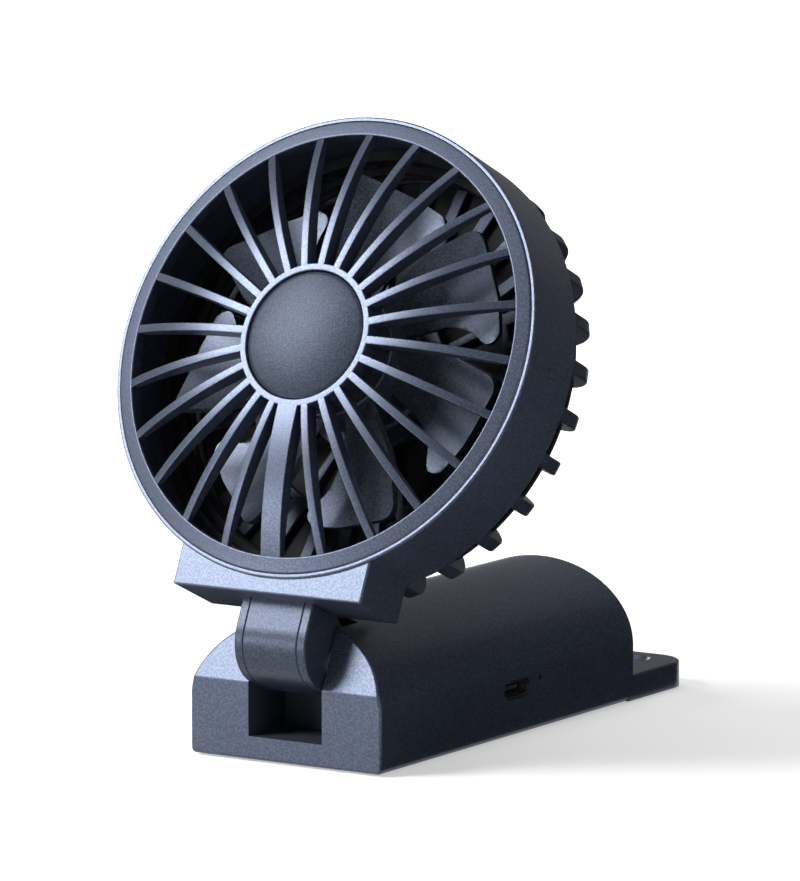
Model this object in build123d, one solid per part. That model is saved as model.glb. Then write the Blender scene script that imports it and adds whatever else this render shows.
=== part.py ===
"""Folding desk fan: an arched casing, a short hinged arm and a round head with an impeller.

Millimetres, +Z up, the front towards -Y and +X to the right of the front.
The origin is on the desk, under the middle of the casing.
"""
import math
import os

from build123d import *

# Casing: measured from its front face and its lower rim
BASE_WIDTH = 42.4
BASE_LENGTH = 90.8
BASE_HEIGHT = 26.8
SIDE_HEIGHT = 11.0
FRONT_HEIGHT = 14.6
BASE_WALL = 2.0
BASE_EDGE_R = 0.5
BASE_RIM_R = 1.0
LEAN_DEG = 24.2

# Rear tab with its two holes
TAB_LENGTH = 22.5
TAB_THICKNESS = 5.1
TAB_CORNER_R = 7.0
TAB_EDGE_R = 0.5
TAB_HOLE_R = 2.1
TAB_HOLE_SPACING = 23.6
TAB_HOLE_SETBACK = 7.0
TAB_HOLE_CHAMFER = 1.3

# Bottom plate, pad and plate screws
PLATE_THICKNESS = 1.8
PLATE_GAP = 0.15
PAD_WIDTH = 25.0
PAD_LENGTH = 66.0
PAD_CORNER_R = 4.0
PAD_SEAT = 0.8
PAD_PROUD = 0.4
PAD_GAP = 0.1
PLATE_SCREW_INSET_X = 2.3
PLATE_SCREW_INSET_Y = 6.0
PLATE_BOSS_R = 2.8
PLATE_BOSS_HEIGHT = 8.0

# Small screws used throughout
SCREW_R = 0.95
SCREW_HEAD_R = 1.8
SCREW_HEAD_HEIGHT = 1.0
SCREW_LENGTH = 5.0
SCREW_GAP = 0.03
SCREW_DRIVE_WIDTH = 0.45
SCREW_DRIVE_LENGTH = 2.0
SCREW_DRIVE_DEPTH = 0.5

# Hinge
HINGE_SETBACK = 6.3
HINGE_BELOW_CREST = 8.8
HINGE_PIN_R = 1.5
HINGE_PIN_GRIP = 5.0
HINGE_PIN_RECESS = 0.4
HINGE_BOSS_R = 3.6
HINGE_GAP = 0.03
POCKET_WALL = 2.0
POCKET_FLOOR = 1.6
NOTCH_CLEARANCE = 0.5
WASHER_R = 4.5
WASHER_THICKNESS = 0.25
BUSH_WALL = 0.9
BUSH_LENGTH = 4.5

# Arm, measured from the hinge axis along and across the head
ARM_WIDTH = 15.7
ARM_SIDE_GAP = 0.35
ARM_REACH = 13.1
ARM_THICKNESS = 8.5
ARM_NOSE_R = 8.5
ARM_EYE_R = 5.6
CHEEK_THICKNESS = 1.9
SEAM_CHAMFER = 0.2
CHEEK_EDGE_R = 0.3
ARM_SCREW_SPACING = 6.4
TONGUE_GAP = 0.1

# Head shell: a drum with a chin block under it
DRUM_R = 45.0
DRUM_WALL = 2.2
DRUM_DEPTH = 16.4
DRUM_EDGE_R = 0.3
RIM_SETBACK = 0.85
RIM_WIDTH = 0.75
CHIN_WIDTH = 41.6
CHIN_BELOW = 2.9
CHIN_FRONT_STEP = 0.5
CHIN_REAR_STEP = 1.1
CHIN_EDGE_R = 0.35
CHIN_CLEARANCE = 0.4
HINGE_BEHIND_CHIN = 3.7

# Front grille
GRILLE_RING_WIDTH = 3.05
GRILLE_RING_DEPTH = 3.2
GRILLE_FIT = 0.1
GRILLE_EDGE = 0.2
DOME_HEIGHT = 5.95
HUB_RING_R = 13.9
HUB_RING_WIDTH = 1.35
SPOKE_COUNT = 24
SPOKE_WIDTH = 1.6
WIDE_SPOKE_WIDTH = 4.4
SPOKE_DEPTH_RIM = 1.5
SPOKE_DEPTH_HUB = 3.3
HUB_FLOOR = 1.6
CAP_GAP = 0.15
CAP_RECESS = 0.25
CAP_EDGE_R = 0.2

# Rear grille
RIB_COUNT = 30
RIB_WIDTH = 2.7
RIB_INSET = 0.4
RIB_OVERHANG = 10.1
RIB_DEPTH = 4.0
RIB_CORNER_R = 5.0
RIB_CLEARANCE = 0.5
INNER_RIB_COUNT = 15
INNER_RIB_WIDTH = 1.8
REAR_RING_FIT = 0.15
REAR_RING_WALL = 2.0
REAR_RING_DEPTH = 3.5
MID_RING_R = 27.0
MID_RING_WIDTH = 1.6
REAR_HUB_R = 15.0
REAR_HUB_WALL = 1.5
REAR_HUB_FLOOR = 2.0
REAR_CAP_THICKNESS = 1.2
REAR_CAP_RECESS = 0.3
BACK_WALL_R = 40.2
BACK_WALL_THICKNESS = 1.2
BACK_WALL_RELIEF = 1.4
HOOP_COUNT = 3
HOOP_THICKNESS = 0.8
HOOP_WIDTH = 1.6
HOOP_INSET = 1.0
HOOP_END_GAP = 0.7

# Impeller
BLADE_COUNT = 7
IMPELLER_R = 35.7
IMPELLER_HUB_R = 12.5
IMPELLER_FRONT = 5.0
IMPELLER_WALL = 1.25
IMPELLER_NOSE_R = 1.0
BLADE_SETBACK = 1.3
BLADE_RISE = 6.0
BLADE_SPAN_DEG = 33.0
BLADE_SWEEP_DEG = 17.0
BLADE_THICKNESS = 1.3
BLADE_CAMBER = 1.0
BLADE_TIP_INSET = 2.2
BLADE_TIP_R = 3.0
BLADE_TAIL_R = 2.0

# Motor: an outer rotor turning round a fixed stator
ROTOR_LENGTH = 9.5
ROTOR_WALL = 0.9
ROTOR_GLUE = 0.05
ROTOR_BOSS_R = 3.0
ROTOR_BOSS_DEPTH = 2.0
MAGNET_WALL = 1.4
MAGNET_LENGTH = 7.4
MAGNET_GAP = 0.4
AIR_GAP = 0.45
SHAFT_R = 1.5
SHAFT_GAP = 0.03
STATOR_LENGTH = 4.8
STATOR_YOKE = 1.3
TOOTH_COUNT = 9
TOOTH_WIDTH = 1.5
TOOTH_SHOE_DEPTH = 0.8
TOOTH_SHOE_GAP_DEG = 9.0
COIL_WALL = 0.6
COIL_OVERHANG = 0.9
COIL_GAP = 0.05
TUBE_WALL = 1.1
BEARING_R = 3.0
BEARING_LENGTH = 2.5
BEARING_FIT = 0.02
MOTOR_PLATE_THICKNESS = 1.6
MOTOR_PLATE_R = 11.4
MOTOR_POST_HEIGHT = 0.8
MOTOR_POST_R = 1.2
MOTOR_BOARD_THICKNESS = 1.0
MOTOR_BOARD_R = 10.5
ROTOR_BOARD_GAP = 1.2
MOTOR_SCREW_COUNT = 3
MOTOR_SCREW_CIRCLE_R = 9.0
MOTOR_SCREW_LENGTH = 3.0
CLIP_R = 2.5
CLIP_THICKNESS = 0.4

# Cell and charge board
CELL_R = 9.15
CELL_LENGTH = 49.8
CELL_TERMINAL_R = 2.7
CELL_TERMINAL_HEIGHT = 1.0
CELL_LIFT = 0.6
SADDLE_LENGTH = 3.0
SADDLE_WIDTH = 12.0
SADDLE_HEIGHT = 2.6
SADDLE_SPACING = 34.0
SADDLE_GAP = 0.1
PORT_SETBACK = 47.6
PORT_HEIGHT = 8.8
PORT_WIDTH = 8.94
PORT_DEPTH = 3.26
PORT_LENGTH = 7.35
PORT_RECESS = 0.4
PORT_METAL = 0.3
PORT_GAP = 0.17
TONGUE_WIDTH = 6.7
TONGUE_THICKNESS = 0.7
TONGUE_LENGTH = 5.2
BOARD_WIDTH = 6.4
BOARD_LENGTH = 34.0
BOARD_THICKNESS = 1.0
BOARD_EDGE_GAP = 0.3
BOARD_POST_R = 2.0
BOARD_SCREW_INSET = 2.6
BOARD_SCREW_LENGTH = 4.0
LIGHT_OFFSET = 8.2
LIGHT_RISE = 1.1
LIGHT_R = 0.5
LIGHT_GAP = 0.02
LIGHT_REACH = 1.2
LAMP_WIDTH = 1.6
LAMP_DEPTH = 1.2
LAMP_OVER = 0.7

# Power button and its switch, on the left side
BUTTON_SETBACK = 47.6
BUTTON_HEIGHT = 7.0
BUTTON_LENGTH = 12.0
BUTTON_WIDTH = 5.0
BUTTON_GAP = 0.15
BUTTON_PROUD = 0.8
BUTTON_EDGE_R = 0.35
BUTTON_FLANGE = 1.0
BUTTON_FLANGE_THICKNESS = 0.8
BUTTON_FLANGE_GAP = 0.05
BUTTON_TRAVEL = 0.6
BUTTON_CROSS_BAR = 0.7
STEM_R = 1.1
STEM_GAP = 0.08
STEM_REACH = 0.9
STEM_SPARE = 0.2
SWITCH_SIZE = 4.2
SWITCH_THICKNESS = 2.2
SWITCH_BOARD_THICKNESS = 1.0
SWITCH_BOARD_LENGTH = 16.0
SWITCH_BOARD_TOP = 3.0
RAIL_LENGTH = 3.0
RAIL_WALL = 1.0
RAIL_HEIGHT = 2.0
RAIL_GAP = 0.05

# Places that follow from the sizes above
lean = math.radians(LEAN_DEG)
half_width = BASE_WIDTH / 2
inner_half = half_width - BASE_WALL
plate_top = PLATE_THICKNESS + PLATE_GAP
notch_width = ARM_WIDTH + 2 * ARM_SIDE_GAP
notch_depth = HINGE_SETBACK + ARM_EYE_R + NOTCH_CLEARANCE

# The hinge is under the crest, and high enough for the arm to swing over the pocket's floor
hinge_for_arm = plate_top + POCKET_FLOOR + NOTCH_CLEARANCE + ARM_REACH
hinge_height = max(BASE_HEIGHT - HINGE_BELOW_CREST, hinge_for_arm)
hinge_below_crest = BASE_HEIGHT - hinge_height
notch_floor = hinge_height - ARM_REACH - NOTCH_CLEARANCE

# Head places
drum_bore = DRUM_R - DRUM_WALL
seat_r = DRUM_R - RIM_WIDTH
ring_outer = seat_r - GRILLE_FIT
ring_inner = ring_outer - GRILLE_RING_WIDTH
chin_drop = DRUM_R + CHIN_BELOW
chin_front = RIM_SETBACK + CHIN_FRONT_STEP
chin_back = DRUM_DEPTH - CHIN_REAR_STEP
neck_setback = chin_back + HINGE_BEHIND_CHIN
arm_front = neck_setback - ARM_REACH
rib_outer = DRUM_R - RIB_INSET
rib_back = DRUM_DEPTH + RIB_OVERHANG
rib_corner_r = rib_outer - RIB_CORNER_R
rib_corner_back = rib_back - RIB_CORNER_R

# The arm is as long as it takes for the rear ribs and the chin to clear the crest of the casing
crest_setback = (BASE_HEIGHT - FRONT_HEIGHT) * math.tan(lean)
crest_radius = math.hypot(crest_setback - HINGE_SETBACK, hinge_below_crest)
rib_lift = hinge_below_crest + RIB_CLEARANCE + RIB_CORNER_R
rib_lift += math.sin(lean) * (rib_corner_back - neck_setback)
neck_for_ribs = rib_lift / math.cos(lean) + rib_corner_r
chin_radius = crest_radius + CHIN_CLEARANCE
neck_for_chin = chin_drop + math.sqrt(max(chin_radius**2 - HINGE_BEHIND_CHIN**2, CHIN_CLEARANCE**2))
neck_drop = max(neck_for_ribs, neck_for_chin)

# Casing frame: x across, y from the front face, z from the lower rim
CASING = Pos(0, -BASE_LENGTH / 2, PAD_PROUD)
SLOPE_NORMAL = Vector(0, -math.cos(lean), math.sin(lean))
HEAD_UP = Vector(0, math.sin(lean), math.cos(lean))
SLOPE_AXIS = Axis((0, 0, 0), SLOPE_NORMAL)
HINGE_POINT = Vector(0, HINGE_SETBACK, hinge_height)

# Head frame: x across, y up the head, z forward along the fan's axis, zero at the grille ring's edge
head_centre = HINGE_POINT + HEAD_UP * neck_drop + SLOPE_NORMAL * neck_setback
HEAD = Plane(origin=head_centre, x_dir=(1, 0, 0), z_dir=SLOPE_NORMAL)

LOW = (Align.CENTER, Align.CENTER, Align.MIN)
HIGH = (Align.CENTER, Align.CENTER, Align.MAX)
CUT = 1.0


def tube(outer, inner, low, high):
    """Round tube about the z axis between two heights."""
    length = high - low
    wall = Circle(outer) - Circle(inner)
    return Pos(0, 0, low) * extrude(wall, amount=length)


def disc(radius, low, high):
    """Round disc about the z axis between two heights."""
    return Pos(0, 0, low) * Cylinder(radius, high - low, align=LOW)


def cross_bar(radius, left, right):
    """Round bar along x between two places."""
    return Pos(left, 0, 0) * Rot(0, 90, 0) * Cylinder(radius, right - left, align=LOW)


def block(low, high):
    """Box between two corners."""
    size = Vector(*high) - Vector(*low)
    return Pos(*low) * Box(size.X, size.Y, size.Z, align=(Align.MIN,) * 3)


def ring_places(count, radius, start_deg=0.0):
    """Evenly spaced places on a circle, each turned to face outwards along x."""
    step = 360 / count
    return [Rot(0, 0, start_deg + step * i) * Pos(radius, 0, 0) for i in range(count)]


def screw(length):
    """Pan-head screw with a cross drive, its shank along +z from the seat of its head."""
    body = disc(SCREW_R, 0, length) + disc(SCREW_HEAD_R, -SCREW_HEAD_HEIGHT, 0)
    drive = Box(SCREW_DRIVE_LENGTH, SCREW_DRIVE_WIDTH, 2 * SCREW_DRIVE_DEPTH)
    drive += Box(SCREW_DRIVE_WIDTH, SCREW_DRIVE_LENGTH, 2 * SCREW_DRIVE_DEPTH)
    return body - Pos(0, 0, -SCREW_HEAD_HEIGHT) * drive


def screw_hole(length):
    """Room for a screw of the same length, with its shank and its head."""
    shank = disc(SCREW_R + SCREW_GAP, -CUT, length + SCREW_GAP)
    return shank


def group(places, shape):
    """Separate copies of one shape in a single node."""
    return Compound(children=[place * shape for place in places])


# Casing


def casing_section(inset, floor):
    """Upright section of the casing, drawn in by an inset: flat sides under a half ellipse."""
    half = half_width - inset
    rise = BASE_HEIGHT - SIDE_HEIGHT - inset
    right = Line((half, floor), (half, SIDE_HEIGHT))
    arch = EllipticalCenterArc((0, SIDE_HEIGHT), half, rise, start_angle=0, arc_size=180)
    left = Line((-half, SIDE_HEIGHT), (-half, floor))
    bottom = Line((-half, floor), (half, floor))
    return make_face([right, arch, left, bottom])


def casing_block(section, inset):
    """Section run along the casing's length, with the slope taken off its front."""
    rear = Plane(origin=(0, BASE_LENGTH - inset, 0), x_dir=(1, 0, 0), z_dir=(0, -1, 0))
    body = extrude(rear * section, amount=BASE_LENGTH - 2 * inset)
    on_slope = Vector(0, 0, FRONT_HEIGHT) - SLOPE_NORMAL * inset
    slope = Plane(origin=on_slope, x_dir=(1, 0, 0), z_dir=SLOPE_NORMAL)
    return body - extrude(slope * Rectangle(2 * BASE_WIDTH, 4 * BASE_HEIGHT), amount=BASE_HEIGHT)


def casing_outside():
    """Outer form of the casing with its rounded rim and edges."""
    section = casing_section(0, 0)
    corners = section.vertices().sort_by(Axis.Y)[:2]
    body = casing_block(fillet(corners, BASE_RIM_R), 0)
    ends = body.faces().sort_by(Axis.Y)
    sharp = ends[-1].edges() + ends[0].edges() + body.faces().sort_by(SLOPE_AXIS)[-1].edges()
    return fillet([edge for edge in sharp if edge.center().Z > BASE_RIM_R], BASE_EDGE_R)


def tab_outside():
    """Rear tab: a flat plate with round corners, run a little way into the casing."""
    root = BASE_LENGTH - BASE_WALL
    end = BASE_LENGTH + TAB_LENGTH
    plate = block((-half_width, root, 0), (half_width, end, TAB_THICKNESS))
    corners = plate.edges().filter_by(Axis.Z).sort_by(Axis.Y)[-2:]
    plate = fillet(corners, TAB_CORNER_R)
    top = plate.faces().sort_by(Axis.Z)[-1]
    rim = top.edges().filter_by(lambda e: e.center().Y > root + CUT)
    plate = fillet(rim, TAB_EDGE_R)
    for side in (-1, 1):
        place = Pos(side * TAB_HOLE_SPACING / 2, end - TAB_HOLE_SETBACK, 0)
        plate -= place * disc(TAB_HOLE_R, -CUT, TAB_THICKNESS + CUT)
        sink = Cone(TAB_HOLE_R, TAB_HOLE_R + TAB_HOLE_CHAMFER, TAB_HOLE_CHAMFER, align=HIGH)
        plate -= place * Pos(0, 0, TAB_THICKNESS) * sink
    return plate


def plate_screw_places():
    """Four places near the corners of the underside."""
    side = inner_half - PLATE_SCREW_INSET_X
    front = BASE_WALL + PLATE_SCREW_INSET_Y
    rear = BASE_LENGTH - BASE_WALL - PLATE_SCREW_INSET_Y
    return [Pos(x, y, 0) for x in (-side, side) for y in (front, rear)]


def on_right_side(setback, height):
    """Plane on the casing's right side, x along its length and z outwards."""
    return Plane(origin=(half_width, setback, height), x_dir=(0, 1, 0), z_dir=(1, 0, 0))


def on_left_side(setback, height):
    """Plane on the casing's left side, x along its length and z outwards."""
    return Plane(origin=(-half_width, setback, height), x_dir=(0, -1, 0), z_dir=(-1, 0, 0))


def base_shell():
    """Casing: one hollow moulding with the hinge pocket, the tab and the side openings."""
    outside = casing_outside()
    hollow = casing_block(casing_section(BASE_WALL, -CUT), BASE_WALL)
    pocket_half = notch_width / 2 + POCKET_WALL
    pocket_low = (-pocket_half, 0, notch_floor - POCKET_FLOOR)
    pocket_high = (pocket_half, notch_depth + POCKET_WALL, BASE_HEIGHT)
    inside = block(pocket_low, pocket_high)
    at_hinge = Pos(*HINGE_POINT)
    inside += at_hinge * cross_bar(HINGE_BOSS_R, -half_width, half_width)
    for place in plate_screw_places():
        inside += place * disc(PLATE_BOSS_R, PLATE_THICKNESS, PLATE_THICKNESS + PLATE_BOSS_HEIGHT)
    shell = outside - hollow + (inside & outside) + tab_outside()
    notch_half = notch_width / 2
    shell -= block((-notch_half, -CUT, notch_floor), (notch_half, notch_depth, BASE_HEIGHT + CUT))
    pin_right = notch_half + HINGE_PIN_GRIP
    shell -= at_hinge * cross_bar(HINGE_PIN_R + HINGE_GAP, -half_width - CUT, pin_right + HINGE_GAP)
    for place in plate_screw_places():
        shell -= place * Pos(0, 0, SCREW_HEAD_HEIGHT + SCREW_GAP) * screw_hole(SCREW_LENGTH)
    port = SlotOverall(PORT_WIDTH + 2 * PORT_GAP, PORT_DEPTH + 2 * PORT_GAP)
    shell -= extrude(on_right_side(PORT_SETBACK, PORT_HEIGHT) * port, amount=BASE_WALL + CUT, both=True)
    light = on_right_side(PORT_SETBACK + LIGHT_OFFSET, PORT_HEIGHT + LIGHT_RISE)
    shell -= extrude(light * Circle(LIGHT_R + LIGHT_GAP), amount=BASE_WALL + CUT, both=True)
    button = SlotOverall(BUTTON_LENGTH + 2 * BUTTON_GAP, BUTTON_WIDTH + 2 * BUTTON_GAP)
    button_face = on_left_side(BUTTON_SETBACK, BUTTON_HEIGHT)
    shell -= extrude(button_face * button, amount=BASE_WALL + CUT, both=True)
    return shell


# Bottom plate and pad


def board_place():
    """Corner of the charge board nearest the front, the cell and the desk."""
    right = inner_half - BOARD_EDGE_GAP
    top = PORT_HEIGHT - PORT_DEPTH / 2
    return Vector(right - BOARD_WIDTH, PORT_SETBACK - BOARD_LENGTH / 2, top - BOARD_THICKNESS)


def board_screw_places():
    """Two places near the ends of the charge board, on its upper face."""
    corner = board_place()
    x = corner.X + BOARD_WIDTH / 2
    z = corner.Z + BOARD_THICKNESS
    ends = (corner.Y + BOARD_SCREW_INSET, corner.Y + BOARD_LENGTH - BOARD_SCREW_INSET)
    return [Pos(x, y, z) * Rot(180, 0, 0) for y in ends]


def cell_place():
    """Middle of the cell, between the hinge pocket and the rear wall."""
    front = notch_depth + POCKET_WALL
    rear = BASE_LENGTH - BASE_WALL
    return Pos(0, (front + rear) / 2, PLATE_THICKNESS + CELL_LIFT + CELL_R)


def switch_back():
    """Inner face of the tact switch, where it sits on its board."""
    flange = inner_half - BUTTON_FLANGE_GAP - BUTTON_FLANGE_THICKNESS - BUTTON_CROSS_BAR
    return -(flange - STEM_REACH - SWITCH_THICKNESS)


def bottom_plate():
    """Plate that closes the casing, with the pad's seat, cell saddles, board posts and switch rails."""
    half = inner_half - PLATE_GAP
    front = BASE_WALL + PLATE_GAP
    plate = block((-half, front, 0), (half, BASE_LENGTH - front, PLATE_THICKNESS))
    seat = RectangleRounded(PAD_WIDTH + 2 * PAD_GAP, PAD_LENGTH + 2 * PAD_GAP, PAD_CORNER_R)
    plate -= Pos(0, BASE_LENGTH / 2, 0) * extrude(seat, amount=PAD_SEAT)
    for place in plate_screw_places():
        plate -= place * disc(SCREW_HEAD_R + PLATE_GAP, -CUT, SCREW_HEAD_HEIGHT + SCREW_GAP)
        plate -= place * screw_hole(PLATE_THICKNESS + CUT)
    centre = cell_place()
    saddle = Pos(0, 0, PLATE_THICKNESS) * Box(SADDLE_WIDTH, SADDLE_LENGTH, SADDLE_HEIGHT, align=LOW)
    cell_room = Rot(90, 0, 0) * Cylinder(CELL_R + SADDLE_GAP, 2 * SADDLE_LENGTH)
    for shift in (-SADDLE_SPACING / 2, SADDLE_SPACING / 2):
        y = centre.position.Y + shift
        plate += Pos(0, y, 0) * saddle - Pos(0, y, centre.position.Z) * cell_room
    for place in board_screw_places():
        point = place.position
        post = disc(BOARD_POST_R, PLATE_THICKNESS, board_place().Z)
        hole = Pos(*point) * Rot(180, 0, 0) * screw_hole(BOARD_SCREW_LENGTH)
        plate += Pos(point.X, point.Y, 0) * post - hole
    rail_half = SWITCH_BOARD_THICKNESS / 2 + RAIL_GAP
    middle = switch_back() + SWITCH_BOARD_THICKNESS / 2
    rail = Box(2 * (rail_half + RAIL_WALL), RAIL_LENGTH, RAIL_HEIGHT, align=LOW)
    rail -= Box(2 * rail_half, RAIL_LENGTH, RAIL_HEIGHT, align=LOW)
    reach = (SWITCH_BOARD_LENGTH - RAIL_LENGTH) / 2
    for shift in (-reach, reach):
        plate += Pos(middle, BUTTON_SETBACK + shift, PLATE_THICKNESS) * rail
    return plate


def anti_slip_pad():
    """Soft pad glued in its seat under the plate, standing a little proud of the rim."""
    outline = RectangleRounded(PAD_WIDTH, PAD_LENGTH, PAD_CORNER_R)
    pad = extrude(outline, amount=PAD_SEAT + PAD_PROUD)
    return Pos(0, BASE_LENGTH / 2, -PAD_PROUD) * pad


def base_screws():
    """Screws that hold the bottom plate to the casing's bosses."""
    seat = Pos(0, 0, SCREW_HEAD_HEIGHT + SCREW_GAP)
    return group([place * seat for place in plate_screw_places()], screw(SCREW_LENGTH))


# Cell, charge board, socket and charge light


def battery_cell():
    """Round rechargeable cell lying along the casing, its raised terminal towards the rear."""
    can = Rot(-90, 0, 0) * Cylinder(CELL_R, CELL_LENGTH)
    terminal = Cylinder(CELL_TERMINAL_R, CELL_TERMINAL_HEIGHT, align=LOW)
    can += Pos(0, CELL_LENGTH / 2, 0) * Rot(-90, 0, 0) * terminal
    return cell_place() * can


def charge_board():
    """Narrow circuit board beside the cell, screwed to two posts."""
    corner = board_place()
    size = Vector(BOARD_WIDTH, BOARD_LENGTH, BOARD_THICKNESS)
    board = block(corner, corner + size)
    for place in board_screw_places():
        board -= place * screw_hole(BOARD_SCREW_LENGTH)
    return board


def board_screws():
    """Screws that hold the charge board down."""
    return group(board_screw_places(), screw(BOARD_SCREW_LENGTH))


def usb_c_shell():
    """Pressed metal shell of the charging socket, open outwards and closed at its back."""
    mouth = on_right_side(PORT_SETBACK, PORT_HEIGHT) * Pos(0, 0, -PORT_RECESS)
    outside = extrude(SlotOverall(PORT_WIDTH, PORT_DEPTH), amount=-PORT_LENGTH)
    room = SlotOverall(PORT_WIDTH - 2 * PORT_METAL, PORT_DEPTH - 2 * PORT_METAL)
    return mouth * (outside - extrude(room, amount=-(PORT_LENGTH - PORT_METAL)))


def usb_c_tongue():
    """Flat contact tongue inside the socket, standing on its back wall."""
    back = on_right_side(PORT_SETBACK, PORT_HEIGHT) * Pos(0, 0, -PORT_RECESS - PORT_LENGTH + PORT_METAL)
    return back * Box(TONGUE_WIDTH, TONGUE_THICKNESS, TONGUE_LENGTH, align=LOW)


def led_light_pipe():
    """Clear pin that carries the charge light through the side wall."""
    face = on_right_side(PORT_SETBACK + LIGHT_OFFSET, PORT_HEIGHT + LIGHT_RISE)
    return face * Cylinder(LIGHT_R, BASE_WALL + LIGHT_REACH, align=HIGH)


def led_lamp():
    """Side-facing lamp on the charge board, against the end of the light pipe."""
    face = half_width - BASE_WALL - LIGHT_REACH
    y = PORT_SETBACK + LIGHT_OFFSET
    low = (face - LAMP_DEPTH, y - LAMP_WIDTH / 2, board_place().Z + BOARD_THICKNESS)
    high = (face, y + LAMP_WIDTH / 2, PORT_HEIGHT + LIGHT_RISE + LAMP_OVER)
    return block(low, high)


# Power button and switch


def power_button():
    """Oblong button with a retaining flange and a short pusher, pressed in towards the right."""
    face = on_left_side(BUTTON_SETBACK, BUTTON_HEIGHT)
    inner = -(BASE_WALL + BUTTON_FLANGE_GAP)
    cap = extrude(SlotOverall(BUTTON_LENGTH, BUTTON_WIDTH), amount=BUTTON_PROUD - inner)
    cap = fillet(cap.faces().sort_by(Axis.Z)[-1].edges(), BUTTON_EDGE_R)
    button = Pos(0, 0, inner) * cap
    flange = SlotOverall(BUTTON_LENGTH + 2 * BUTTON_FLANGE, BUTTON_WIDTH + 2 * BUTTON_FLANGE)
    button += Pos(0, 0, inner) * extrude(flange, amount=-BUTTON_FLANGE_THICKNESS)
    pusher = Cylinder(STEM_R, BUTTON_CROSS_BAR, align=HIGH)
    button += Pos(0, 0, inner - BUTTON_FLANGE_THICKNESS) * pusher
    return face * button


def stem_place():
    """Middle of the pusher's end face, z outwards."""
    depth = BASE_WALL + BUTTON_FLANGE_GAP + BUTTON_FLANGE_THICKNESS + BUTTON_CROSS_BAR
    return on_left_side(BUTTON_SETBACK, BUTTON_HEIGHT) * Pos(0, 0, -depth)


def switch_stem():
    """Switch stem that follows the button's pusher into the switch."""
    return stem_place() * Cylinder(STEM_R, STEM_REACH + STEM_SPARE, align=HIGH)


def tact_switch():
    """Switch body with a round well for its stem."""
    body = Box(SWITCH_SIZE, SWITCH_SIZE, SWITCH_THICKNESS, align=HIGH)
    well = Cylinder(STEM_R + STEM_GAP, STEM_SPARE + BUTTON_TRAVEL + STEM_GAP, align=HIGH)
    return stem_place() * Pos(0, 0, -STEM_REACH) * (body - well)


def switch_board():
    """Upright circuit board behind the switch, standing in the plate's rails."""
    front = BUTTON_SETBACK - SWITCH_BOARD_LENGTH / 2
    low = (switch_back(), front, PLATE_THICKNESS)
    top = BUTTON_HEIGHT + SWITCH_BOARD_TOP
    return block(low, (switch_back() + SWITCH_BOARD_THICKNESS, front + SWITCH_BOARD_LENGTH, top))


# Hinge


def flank_at(height):
    """Half width of the casing's outside at a height."""
    rise = (height - SIDE_HEIGHT) / (BASE_HEIGHT - SIDE_HEIGHT)
    return half_width * math.sqrt(1 - max(rise, 0) ** 2)


def hinge_pin():
    """Steel pin driven in from the left flank, through the arm and into the right ear."""
    left = flank_at(hinge_height + HINGE_PIN_R) - HINGE_PIN_RECESS
    right = notch_width / 2 + HINGE_PIN_GRIP
    return Pos(*HINGE_POINT) * cross_bar(HINGE_PIN_R, -left, right)


def hinge_washers():
    """Friction washers between the arm and the sides of the notch."""
    washer = tube(WASHER_R, HINGE_PIN_R + HINGE_GAP, 0, WASHER_THICKNESS)
    left = Pos(-notch_width / 2, 0, 0) * Rot(0, 90, 0)
    right = Pos(notch_width / 2, 0, 0) * Rot(0, -90, 0)
    return Pos(*HINGE_POINT) * group([left, right], washer)


# Arm, drawn in the head frame


def tangent_angle(dx, dy, radius):
    """Angle on a circle at its centre, of the lower tangent point seen from a point dx, dy away."""
    return math.atan2(dy, dx) - math.acos(radius / math.hypot(dx, dy))


def arm_outline():
    """Side view of the arm: flat front, round nose, flat under side, hinge eye and sloping back.

    The first coordinate runs up the head and the second forward along the fan's axis.
    """
    eye = Vector(-neck_drop, -neck_setback)
    nose = Vector(-neck_drop - ARM_EYE_R + ARM_NOSE_R, -arm_front - ARM_NOSE_R)
    top_front = Vector(-chin_drop, -arm_front)
    top_back = Vector(-chin_drop, -arm_front - ARM_THICKNESS)
    nose_front = nose + Vector(0, ARM_NOSE_R)
    nose_low = nose + Vector(-ARM_NOSE_R, 0)
    nose_mid = nose + Vector(-ARM_NOSE_R, 0).rotate(Axis.Z, -45)
    eye_low = eye + Vector(-ARM_EYE_R, 0)
    to_top = top_back - eye
    end_deg = math.degrees(tangent_angle(to_top.X, to_top.Y, ARM_EYE_R))
    eye_end = eye + Vector(ARM_EYE_R, 0).rotate(Axis.Z, end_deg)
    eye_mid = eye + Vector(ARM_EYE_R, 0).rotate(Axis.Z, (end_deg - 180) / 2)
    front = Line(top_front, nose_front)
    round_nose = ThreePointArc(nose_front, nose_mid, nose_low)
    under = Line(nose_low, eye_low)
    round_eye = ThreePointArc(eye_low, eye_mid, eye_end)
    back = Line(eye_end, top_back)
    top = Line(top_back, top_front)
    return make_face([front, round_nose, under, round_eye, back, top])


def at_eye():
    """Hinge axis in the head frame."""
    return Pos(0, -neck_drop, -neck_setback)


def arm_screw_places():
    """Two places on the drum's floor, above the arm, with the shank pointing down the head."""
    depth = -(arm_front + ARM_THICKNESS / 2)
    seat = Vector(0, -math.sqrt(drum_bore**2 - (ARM_SCREW_SPACING / 2 + SCREW_HEAD_R) ** 2), depth)
    shift = Vector(ARM_SCREW_SPACING / 2, 0, 0)
    return [Pos(*(seat + shift * side)) * Rot(90, 0, 0) for side in (-1, 1)]


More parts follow.
